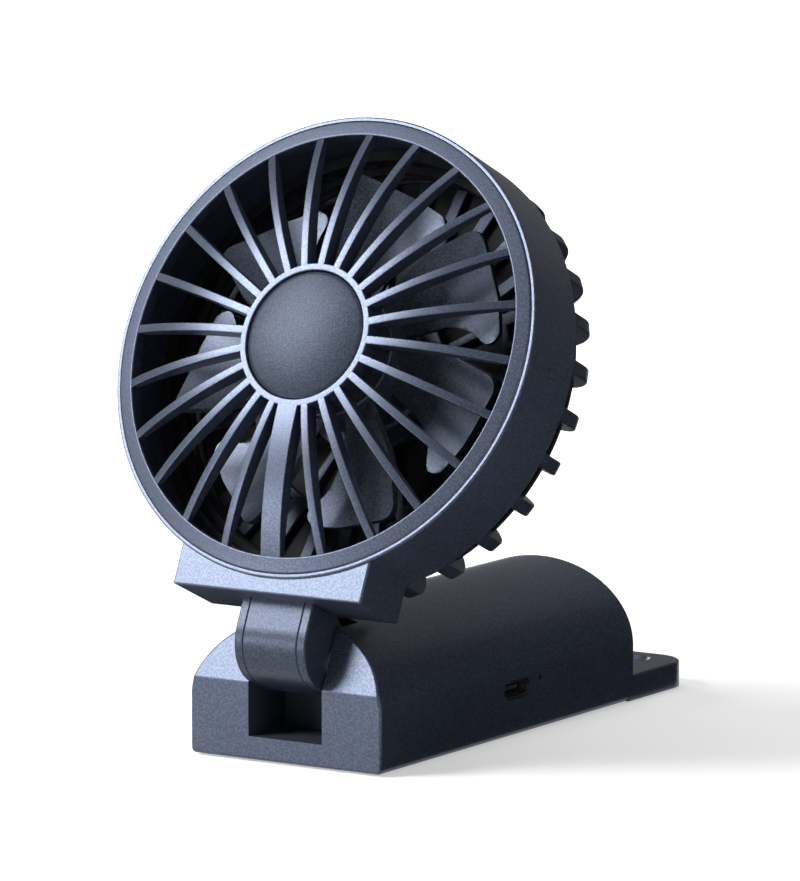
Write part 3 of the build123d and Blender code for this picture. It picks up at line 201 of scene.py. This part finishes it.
# Screws, pins and the socket's case: plain steel, turned or pressed, with fine tool marks.
# The motor's iron pieces, its shaft, bushes, coils and plate are bare metal too.
def bare_metal(name, colour, rough, stretch=(1, 1, 1)):
    """Bare metal whose fine marks run round or along the piece."""
    marks_per_m = 900.0
    smoother = 0.08
    rougher = 0.10
    metal = bpy.data.materials.new(name)
    metal.use_nodes = True
    nodes, links = metal.node_tree.nodes, metal.node_tree.links
    skin = nodes["Principled BSDF"]
    skin.inputs["Base Color"].default_value = (*colour, 1)
    skin.inputs["Metallic"].default_value = 1.0
    place = nodes.new("ShaderNodeTexCoord")
    spread = nodes.new("ShaderNodeMapping")
    spread.inputs["Scale"].default_value = stretch
    links.new(place.outputs["Object"], spread.inputs["Vector"])
    marks = nodes.new("ShaderNodeTexNoise")
    marks.inputs["Scale"].default_value = marks_per_m
    marks.inputs["Detail"].default_value = 4.0
    links.new(spread.outputs["Vector"], marks.inputs["Vector"])
    gloss = nodes.new("ShaderNodeMapRange")
    gloss.inputs["To Min"].default_value = rough - smoother
    gloss.inputs["To Max"].default_value = rough + rougher
    links.new(marks.outputs["Fac"], gloss.inputs["Value"])
    links.new(gloss.outputs["Result"], skin.inputs["Roughness"])
    return metal


plain_steel = bare_metal("plain_steel", (0.56, 0.57, 0.59), rough=0.32, stretch=(1, 1, 4))
dress(plain_steel, "base_screws", "board_screws", "arm_screws", "motor_screws")
dress(plain_steel, "hinge_pin", "hinge_washers", "motor_shaft", "shaft_clip", "rotor_cup", "stator_core")
socket_steel = bare_metal("socket_steel", (0.46, 0.47, 0.49), rough=0.30, stretch=(1, 4, 1))
dress(socket_steel, "usb_c_shell")
bearing_bronze = bare_metal("bearing_bronze", (0.55, 0.38, 0.18), rough=0.45)
dress(bearing_bronze, "arm_bushes", "motor_bearings")
coil_copper = bare_metal("coil_copper", (0.62, 0.26, 0.11), rough=0.35, stretch=(1, 1, 6))
dress(coil_copper, "stator_coils")
magnet_black = bare_metal("magnet_black", (0.06, 0.06, 0.065), rough=0.55)
dress(magnet_black, "magnet_ring")
cast_metal = bare_metal("cast_metal", (0.48, 0.49, 0.51), rough=0.48)
dress(cast_metal, "motor_plate")


# Cell and boards: a shrink-wrapped cell on its saddles, and boards under green solder mask.
# They are screwed or slotted in place, out of sight in the casing and behind the motor.
cell_wrap = satin_plastic("cell_wrap", (0.035, 0.10, 0.21), rough=0.35, grain=0.1)
dress(cell_wrap, "battery_cell")
board_green = satin_plastic("board_green", (0.010, 0.060, 0.024), rough=0.38, grain=0.1)
dress(board_green, "charge_board", "switch_board", "motor_board")


# Charge light: a small lamp on the board and the pin that brings its light to the right side.
# The pin is pressed into its hole and coloured near black, letting a little light through, as painted shade
# for the dark of its hole.
# Near-black colour on the lamp and the pin: painted shade for the small dark hole.
light_pipe_shade = satin_plastic("light_pipe_shade", (0.008, 0.009, 0.012), rough=0.30, grain=0.05, gloss_level=0.2)
light_pipe_shade.node_tree.nodes["Principled BSDF"].inputs["Transmission Weight"].default_value = 0.2
dress(light_pipe_shade, "led_lamp", "led_light_pipe")


# Power button: an oblong key in the left side, held from within by its flange.
# It is moulded and painted like the casing, and a touch smoother.
button_rough = 0.33
button_paint = slate_paint("button_paint", slate_dark, slate_pale, button_rough, slate_grain, slate_gloss)
dress(button_paint, "power_button")


# Arm: a core held between two cheeks, with a fine seam at each joint, in a slightly duller slate whose colour
# is painted darker than the casing's as painted shade.
# It turns on the pin in the notch and carries the head's shell at its upper end.
# The casing's paint coloured darker for the arm: painted shade.
arm_shade_dark = (0.009, 0.0115, 0.019)
arm_shade_pale = (0.033, 0.041, 0.062)
arm_gloss = 0.55
arm_shaded_paint = slate_paint("arm_shaded_paint", arm_shade_dark, arm_shade_pale, slate_rough, slate_grain, arm_gloss)
dress(arm_shaded_paint, "arm_core", "arm_cheek_left", "arm_cheek_right")


# Head shell: the drum round the fan with its chin block, moulded in one piece.
# It is painted like the casing and screwed to the top of the arm.
casing_paint = slate_paint("casing_paint", slate_dark, slate_pale, slate_rough, slate_grain, slate_gloss)
dress(casing_paint, "front_shell")


# Rear guard: thirty curved ribs on a middle ring and a hub, with a closed wall and three thin hoops.
# It is one moulding. The ribs, the middle ring and the hub are slate; what lies deeper, the wall, the ring
# round it and the hoops, is coloured near black as painted shade.
# The ribs run out past the wall and down the sides, and air is drawn in between the hoops.
lean_deg = 24.2
head_centre = Vector((0, -33.3101, 77.6333)) * mm
head_place = Matrix.Translation(head_centre) @ Matrix.Rotation(math.radians(90 - lean_deg), 4, "X")
axis = (0, 0, 1)
middle = (0, 0, 0)
weld = 0.001


def turned(outline, steps, closed=True):
    """Turn an outline of (radius, height) corners once round the axis."""
    shape = bmesh.new()
    corners = [shape.verts.new((radius, 0, height)) for radius, height in outline]
    ends = corners[1:] + corners[:1] if closed else corners[1:]
    sides = [shape.edges.new(pair) for pair in zip(corners, ends)]
    bmesh.ops.spin(shape, geom=corners + sides, axis=axis, cent=middle,
                   angle=math.tau, steps=steps, use_merge=True)
    bmesh.ops.remove_doubles(shape, verts=shape.verts[:], dist=weld)
    bmesh.ops.recalc_face_normals(shape, faces=shape.faces[:])
    return shape


def square_ring(inner, outer, back, front, steps):
    """Turn a ring of rectangular section."""
    return turned([(outer, back), (outer, front), (inner, front), (inner, back)], steps)


def soften(shape, width, segments, least_deg=40):
    """Round every edge that is sharper than a given angle."""
    sharp = [edge for edge in shape.edges
             if len(edge.link_faces) == 2 and edge.calc_face_angle() > math.radians(least_deg)]
    bmesh.ops.bevel(shape, geom=sharp, offset=width, offset_type="OFFSET", affect="EDGES",
                    segments=segments, profile=0.5, material=-1, clamp_overlap=True)


def swing(shape, angle):
    """Turn a shape about the axis."""
    bmesh.ops.rotate(shape, matrix=Matrix.Rotation(angle, 3, "Z"), verts=shape.verts[:])


def repeat_round(shape, count, turn):
    """Repeat everything in a shape round the axis, a given turn apart."""
    everything = shape.verts[:] + shape.edges[:] + shape.faces[:]
    bmesh.ops.spin(shape, geom=everything, axis=axis, cent=middle, angle=turn * (count - 1),
                   steps=count - 1, use_duplicate=True)


def join(shape, *others):
    """Put the other shapes into the first one."""
    for other in others:
        spare = bpy.data.meshes.new("spare")
        other.to_mesh(spare)
        other.free()
        shape.from_mesh(spare)
        bpy.data.meshes.remove(spare)


def fit_piece(name, shape, place, finish, body, node, sharp_deg=35):
    """Set a finished shape in its place on a body, instead of the plain solid."""
    bmesh.ops.transform(shape, matrix=place @ Matrix.Scale(mm, 4), verts=shape.verts[:])
    mesh = bpy.data.meshes.new(name)
    shape.to_mesh(mesh)
    shape.free()
    mesh.shade_smooth()
    mesh.set_sharp_from_angle(angle=math.radians(sharp_deg))
    mesh.materials.append(finish)
    piece = bpy.data.objects.new(name, mesh)
    scene.collection.objects.link(piece)
    flat_faces = piece.modifiers.new("flat_faces", "WEIGHTED_NORMAL")
    flat_faces.keep_sharp = True
    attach(piece, body)
    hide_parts(node)


quarter = math.pi / 2
rib_count = 30
rib_width = 2.7
rib_root = -16.4
rib_back = -26.5
rib_outer = 44.6
rib_bend = 5.0
rib_depth = 4.0
rib_inner = rib_outer - rib_depth
heel_r = 41.65
heel_front = -14.65
mid_ring = 27.0
bend_r = rib_outer - rib_bend
bend_z = rib_back + rib_bend
rib = bmesh.new()
rib.verts.new((rib_outer, -rib_width / 2, bend_z))
bmesh.ops.spin(rib, geom=rib.verts[:], axis=(0, 1, 0), cent=(bend_r, 0, bend_z), angle=quarter, steps=8)
bend = rib.verts[:]
inside = [(mid_ring, rib_back), (mid_ring, rib_back + rib_depth), (bend_r, rib_back + rib_depth),
          (rib_inner, bend_z), (rib_inner, heel_front), (heel_r, heel_front), (heel_r, rib_root),
          (rib_outer, rib_root)]
rib.faces.new(bend + [rib.verts.new((r, -rib_width / 2, z)) for r, z in inside])
grown = bmesh.ops.extrude_face_region(rib, geom=rib.faces[:])
far_side = [part for part in grown["geom"] if isinstance(part, bmesh.types.BMVert)]
bmesh.ops.translate(rib, vec=(0, rib_width, 0), verts=far_side)
bmesh.ops.recalc_face_normals(rib, faces=rib.faces[:])
soften(rib, width=0.35, segments=3)
swing(rib, -quarter)
repeat_round(rib, rib_count, math.tau / rib_count)

inner_rib_count = 15
inner_rib_width = 1.8
inner_rib_start = 14.3
inner_rib_size = (mid_ring - inner_rib_start, inner_rib_width, rib_depth)
inner_rib_middle = ((mid_ring + inner_rib_start) / 2, 0, rib_back + rib_depth / 2)
inner_rib = bmesh.new()
bmesh.ops.create_cube(inner_rib, size=1.0)
bmesh.ops.scale(inner_rib, vec=inner_rib_size, verts=inner_rib.verts[:])
bmesh.ops.translate(inner_rib, vec=inner_rib_middle, verts=inner_rib.verts[:])
soften(inner_rib, width=0.3, segments=2)
swing(inner_rib, -quarter)
repeat_round(inner_rib, inner_rib_count, math.tau / inner_rib_count)

back_ring = square_ring(inner=26.2, outer=27.8, back=rib_back, front=-22.5, steps=144)
soften(back_ring, width=0.3, segments=2)
rear_hub_r = 15.0
rear_hub_front = -20.35
rear_seat_r = 13.5
rear_seat_floor = -22.35
rear_hub = turned([(rear_hub_r, rib_back), (rear_hub_r, rear_hub_front), (0, rear_hub_front)],
                  steps=96, closed=False)
rear_seat = turned([(0, rear_seat_floor), (rear_seat_r, rear_seat_floor), (rear_seat_r, rib_back),
                    (rear_hub_r, rib_back)], steps=96, closed=False)
join(rear_hub, rear_seat)
bmesh.ops.remove_doubles(rear_hub, verts=rear_hub.verts[:], dist=weld)
bmesh.ops.recalc_face_normals(rear_hub, faces=rear_hub.faces[:])
soften(rear_hub, width=0.25, segments=2)
guard_dark = (0.010, 0.013, 0.021)
guard_pale = (0.026, 0.032, 0.048)
guard_slate = slate_paint("guard_slate", guard_dark, guard_pale, rough=0.40, grain=0.25, gloss_level=0.5)
join(rib, inner_rib, back_ring, rear_hub)
fit_piece("rear_ribs", rib, head_place, guard_slate, "head", "rear_grille")
dress(guard_slate, "rear_cap")

crisp_edge = 0.08
hoop_fronts = (-17.1, -19.75, -22.4)
hoop_thickness = 0.8
back_wall = square_ring(inner=14.25, outer=40.2, back=-25.1, front=-23.9, steps=180)
soften(back_wall, width=crisp_edge, segments=2)
guard_ring = square_ring(inner=40.65, outer=42.65, back=rib_root, front=-12.9, steps=180)
soften(guard_ring, width=crisp_edge, segments=2)
join(back_wall, guard_ring)
for hoop_front in hoop_fronts:
    hoop_back = hoop_front - hoop_thickness
    hoop = square_ring(inner=39.3, outer=41.5, back=hoop_back, front=hoop_front, steps=180)
    soften(hoop, width=crisp_edge, segments=2)
    join(back_wall, hoop)
# Near-black painted shade for the deep wall, its ring and the hoops inside the drum.
deep_shade_black = satin_plastic("deep_shade_black", (0.005, 0.006, 0.009), rough=0.62, grain=0.25, gloss_level=0.25)
fit_piece("rear_wall", back_wall, head_place, deep_shade_black, "head", "rear_grille")


# Impeller: seven broad twisted blades on a cup-shaped hub, moulded in dark satin plastic.
# Each blade has a rounded finger at its leading tip, behind, and a round trailing corner in front.
blade_dark = (0.012, 0.015, 0.022)
blade_pale = (0.045, 0.054, 0.072)
blade_plastic = slate_paint("blade_plastic", blade_dark, blade_pale, rough=0.32, grain=0.30, gloss_level=0.58)
blade_count = 7
blade_thickness = 1.2
blade_hollow = 0.9
blade_root_r = 12.2
blade_span = 22.0
lead_z = -11.0
trail_z = -6.6
lead_root_deg = -10.0
lead_sweep_deg = 19.0
trail_root_deg = 25.0
trail_sweep_deg = 15.0
sweep_limit = 1.2
blade_corners = [(blade_root_r, -12, 0), (24.5, -16.5, 4.0), (29.9, -29, 1.6), (32.3, -24.8, 0.8),
                 (33.0, -13, 0.4), (36.6, 9.5, 3.0), (25.0, 18, 2.0), (blade_root_r, 25, 0)]
blades = bmesh.new()
outline = []
for radius, deg, rounding in blade_corners:
    angle = math.radians(deg)
    outline.append((blades.verts.new((radius * math.cos(angle), radius * math.sin(angle), 0)), rounding))
blades.faces.new([corner for corner, rounding in outline])
for corner, rounding in outline:
    if rounding:
        bmesh.ops.bevel(blades, geom=[corner], offset=rounding, offset_type="OFFSET", affect="VERTICES",
                        segments=7, profile=0.5, material=-1)

grid_lines = 40
grid_pitch = 1.0
grid_below = 20.0
for line in range(1, grid_lines):
    cut = (line * grid_pitch, line * grid_pitch - grid_below, 0)
    for normal in ((1, 0, 0), (0, 1, 0)):
        everything = blades.verts[:] + blades.edges[:] + blades.faces[:]
        bmesh.ops.bisect_plane(blades, geom=everything, dist=0.0001, plane_co=cut, plane_no=normal)
for point in blades.verts:
    out = min((point.co.xy.length - blade_root_r) / blade_span, sweep_limit)
    lead_deg = lead_root_deg - lead_sweep_deg * out
    trail_deg = trail_root_deg - trail_sweep_deg * out
    across = (math.degrees(math.atan2(point.co.y, point.co.x)) - lead_deg) / (trail_deg - lead_deg)
    sag = blade_hollow * 4 * across * (1 - across) + blade_thickness / 2
    point.co.z = lead_z + (trail_z - lead_z) * across - sag
bmesh.ops.recalc_face_normals(blades, faces=blades.faces[:])
bmesh.ops.solidify(blades, geom=blades.faces[:], thickness=blade_thickness)
bmesh.ops.recalc_face_normals(blades, faces=blades.faces[:])
soften(blades, width=0.4, segments=3, least_deg=60)
swing(blades, quarter)
repeat_round(blades, blade_count, math.tau / blade_count)

cup_r = 12.5
cup_front = -5.0
cup_back = -15.75
cup_wall = 1.25
hub_cup = turned([(0, cup_front), (cup_r, cup_front), (cup_r, cup_back), (cup_r - cup_wall, cup_back),
                  (cup_r - cup_wall, cup_front - cup_wall), (0, cup_front - cup_wall)],
                 steps=96, closed=False)
soften(hub_cup, width=0.5, segments=3)
join(blades, hub_cup)
fit_piece("fan_blades", blades, head_place, blade_plastic, "rotor", "impeller")


# Front guard: a ring, a hub ring and twenty-four thin spokes in a shallow dome, one of them broad.
# It is one moulding, painted like the casing, pressed into the drum's front seat.
guard_outer = 44.15
guard_inner = 41.1
guard_back = -3.2
guard_fall = 0.85 / 3.9
hub_outer = 13.9
hub_inner = 12.55
hub_back = 2.65
hub_web = 1.6
dome_front = 5.95
spoke_count = 24
spoke_width = 1.6
broad_spoke_width = 4.4
spoke_back_rim = -1.5
spoke_root = hub_outer - 0.8
spoke_tip = guard_inner + 0.6
reach = guard_inner - hub_outer
back_rise = hub_back - spoke_back_rim
front_curve = (reach**2 + dome_front**2) / (2 * dome_front)
back_curve = (reach**2 + back_rise**2) / (2 * back_rise)


def spoke_bar(width):
    """One spoke along x, curved to the dome, with both ends run into the rings."""
    bar = bmesh.new()
    bmesh.ops.create_cube(bar, size=1.0)
    bmesh.ops.scale(bar, vec=(spoke_tip - spoke_root, width, 1), verts=bar.verts[:])
    bmesh.ops.translate(bar, vec=((spoke_tip + spoke_root) / 2, 0, 0), verts=bar.verts[:])
    lengthwise = [edge for edge in bar.edges if abs(edge.verts[0].co.x - edge.verts[1].co.x) > 1]
    bmesh.ops.subdivide_edges(bar, edges=lengthwise, cuts=18, use_grid_fill=True)
    for point in bar.verts:
        out = point.co.x - hub_outer
        if point.co.z > 0:
            point.co.z = dome_front - front_curve + math.sqrt(front_curve**2 - out**2)
        else:
            point.co.z = hub_back - back_curve + math.sqrt(back_curve**2 - out**2)
    soften(bar, width=0.2, segments=2)
    return bar


guard = turned([(guard_inner, 0), (guard_outer, -guard_fall * (guard_outer - guard_inner)),
                (guard_outer, guard_back), (guard_inner, guard_back)], steps=240)
soften(guard, width=0.38, segments=4)
hub_ring = turned([(0, hub_back), (hub_outer, hub_back), (hub_outer, dome_front), (hub_inner, dome_front),
                   (hub_inner, hub_back + hub_web), (0, hub_back + hub_web)], steps=144, closed=False)
soften(hub_ring, width=0.2, segments=3)
spokes = spoke_bar(spoke_width)
spoke_turn = math.tau / spoke_count
swing(spokes, spoke_turn - quarter)
repeat_round(spokes, spoke_count - 1, spoke_turn)
broad_spoke = spoke_bar(broad_spoke_width)
swing(broad_spoke, -quarter)
join(guard, hub_ring, spokes, broad_spoke)
fit_piece("front_guard", guard, head_place, casing_paint, "head", "front_grille")


# Hub cap: a thin, slightly crowned disc with a fine grain, stuck in the recess of the hub ring.
# Its paint is duller than the casing's, so it looks a shade darker than the ring round it.
cap_dark = (0.009, 0.012, 0.019)
cap_pale = (0.031, 0.038, 0.057)
cap_paint = slate_paint("cap_paint", cap_dark, cap_pale, rough=0.30, grain=0.45, gloss_level=0.18,
                        flakes_per_m=3600.0)
cap_r = 12.4
cap_back = 4.25
cap_front = 6.5
cap_edge = 5.5
crown_rise = cap_front - cap_edge
crown_curve = (cap_r**2 + crown_rise**2) / (2 * crown_rise)
crown = bmesh.new()
crown.verts.new((0, 0, cap_front))
bmesh.ops.spin(crown, geom=crown.verts[:], axis=(0, 1, 0), cent=(0, 0, cap_front - crown_curve),
               angle=math.asin(cap_r / crown_curve), steps=14)
crown_line = [(point.co.x, point.co.z) for point in crown.verts]
crown.free()
cap = turned(crown_line + [(cap_r, cap_back), (0, cap_back)], steps=144, closed=False)
soften(cap, width=0.2, segments=3)
fit_piece("hub_disc", cap, head_place, cap_paint, "head", "hub_cap")


# Camera: stands where the photograph was taken from, with a long lens.
camera_spot = Vector((674.49, -1051.63, 237.24)) * mm
camera_yaw_deg = 32.825
camera_pitch_deg = 8.277
camera = bpy.data.objects.new("camera", bpy.data.cameras.new("camera"))
scene.collection.objects.link(camera)
scene.camera = camera
camera.location = camera_spot
camera.rotation_euler = (math.radians(90 - camera_pitch_deg), 0, math.radians(camera_yaw_deg))
camera.data.sensor_fit = "AUTO"
camera.data.sensor_width = 36.0
camera.data.lens = 271.3
camera.data.clip_end = 20.0


# Floor: a wide sheet of white paper under the pad, which keeps the fan's soft shadow near it.
# It shines white to the eye and to gloss, less so close to the fan, and lights nothing itself.
floor_half = 6.0
paper_white = (0.62, 0.62, 0.62, 1)
shadow_near = 0.08
shadow_far = 0.60
glow_near = 0.45
glow_far = 1.0
floor_mesh = bpy.data.meshes.new("floor")
sheet = bmesh.new()
bmesh.ops.create_grid(sheet, x_segments=1, y_segments=1, size=floor_half)
sheet.to_mesh(floor_mesh)
sheet.free()
floor = bpy.data.objects.new("floor", floor_mesh)
scene.collection.objects.link(floor)
paper = bpy.data.materials.new("floor_paper")
paper.use_nodes = True
tree = paper.node_tree
face = tree.nodes["Principled BSDF"]
face.inputs["Base Color"].default_value = paper_white
face.inputs["Roughness"].default_value = 1.0
face.inputs["Specular IOR Level"].default_value = 0.0
face.inputs["Emission Color"].default_value = (1, 1, 1, 1)
where = tree.nodes.new("ShaderNodeTexCoord")
distance = tree.nodes.new("ShaderNodeVectorMath")
distance.operation = "LENGTH"
tree.links.new(where.outputs["Object"], distance.inputs[0])
fade = tree.nodes.new("ShaderNodeMapRange")
fade.inputs["From Min"].default_value = shadow_near
fade.inputs["From Max"].default_value = shadow_far
fade.inputs["To Min"].default_value = glow_near
fade.inputs["To Max"].default_value = glow_far
tree.links.new(distance.outputs["Value"], fade.inputs["Value"])
path = tree.nodes.new("ShaderNodeLightPath")
eye_or_gloss = reckon(tree, "MAXIMUM", path.outputs["Is Camera Ray"], path.outputs["Is Glossy Ray"])
seen_directly = reckon(tree, "MAXIMUM", eye_or_gloss, path.outputs["Is Transmission Ray"])
glow = reckon(tree, "MULTIPLY", fade.outputs["Result"], seen_directly)
tree.links.new(glow, face.inputs["Emission Strength"])
floor_mesh.materials.append(paper)


# Lamps: a soft key from the upper left of the front, a low fill in front and a broad weak lamp above.
# Two weak lamps at the right and at the rear left keep those sides readable, in an even white world.
def soft_lamp(name, toward, reach, size, power):
    """Square soft box that faces the fan from a given direction."""
    target = Vector((0, -0.03, 0.06))
    lamp = bpy.data.objects.new(name, bpy.data.lights.new(name, "AREA"))
    scene.collection.objects.link(lamp)
    lamp.data.shape = "SQUARE"
    lamp.data.size = size
    lamp.data.energy = power
    lamp.location = target + Vector(toward).normalized() * reach
    lamp.rotation_euler = (target - lamp.location).to_track_quat("-Z", "Y").to_euler()


soft_lamp("key_lamp", toward=(-0.59, -0.585, 0.58), reach=1.2, size=0.47, power=18)
soft_lamp("fill_lamp", toward=(-0.5475, -0.827, 0.0), reach=1.3, size=0.36, power=6)
soft_lamp("top_lamp", toward=(-0.1, 0.1, 1.0), reach=1.6, size=1.2, power=8)
soft_lamp("side_lamp", toward=(0.90, -0.35, 0.30), reach=1.3, size=0.5, power=2.5)
soft_lamp("back_lamp", toward=(-0.90, 0.46, 0.12), reach=1.2, size=0.45, power=6)
world = bpy.data.worlds.new("studio")
scene.world = world
world.use_nodes = True
sky = world.node_tree.nodes["Background"]
sky.inputs["Color"].default_value = (1, 1, 1, 1)
sky.inputs["Strength"].default_value = 0.22
scene.view_settings.view_transform = "Standard"


# Flags: black felt, as a curved screen behind the right side and as sheets on the floor at both sides.
# Only gloss sees them, so they keep the right side deep and leave the floor and the lamps alone.
screen_r = 0.45
screen_height = 0.5
screen_from = math.radians(36.0)
screen_turn = math.radians(38.0)
casing_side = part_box("base_shell")[1][0] + mm
felt_lift = 0.5 * mm
felt_reach = 0.6
felt_front = -0.06
felt_back = 0.45
felt_far_x = casing_side + felt_reach * math.cos(screen_from)
felt_far_y = felt_front + felt_reach * math.sin(screen_from)
felt_corners = [(casing_side, felt_front), (felt_far_x, felt_far_y), (felt_far_x, felt_back),
                (casing_side, felt_back)]
scrap_width = 0.055
scrap_middle = (-casing_side - scrap_width / 2, -0.005, felt_lift)
flags = bmesh.new()
screen_foot = flags.verts.new((screen_r, 0, 0))
screen_top = flags.verts.new((screen_r, 0, screen_height))
screen_edge = flags.edges.new((screen_foot, screen_top))
swing(flags, screen_from)
bmesh.ops.spin(flags, geom=[screen_foot, screen_top, screen_edge], axis=axis, cent=middle,
               angle=screen_turn, steps=12)
flags.faces.new([flags.verts.new((x, y, felt_lift)) for x, y in felt_corners])
scrap = bmesh.new()
bmesh.ops.create_grid(scrap, x_segments=1, y_segments=1, size=scrap_width / 2)
bmesh.ops.translate(scrap, vec=scrap_middle, verts=scrap.verts[:])
join(flags, scrap)
flag_mesh = bpy.data.meshes.new("dark_flag")
flags.to_mesh(flag_mesh)
flags.free()
flag = bpy.data.objects.new("dark_flag", flag_mesh)
scene.collection.objects.link(flag)
flag.visible_camera = False
flag.visible_diffuse = False
flag.visible_shadow = False
felt = bpy.data.materials.new("flag_felt")
felt.use_nodes = True
felt_face = felt.node_tree.nodes["Principled BSDF"]
felt_face.inputs["Base Color"].default_value = (0.01, 0.01, 0.01, 1)
felt_face.inputs["Roughness"].default_value = 1.0
felt_face.inputs["Specular IOR Level"].default_value = 0.0
flag_mesh.materials.append(felt)
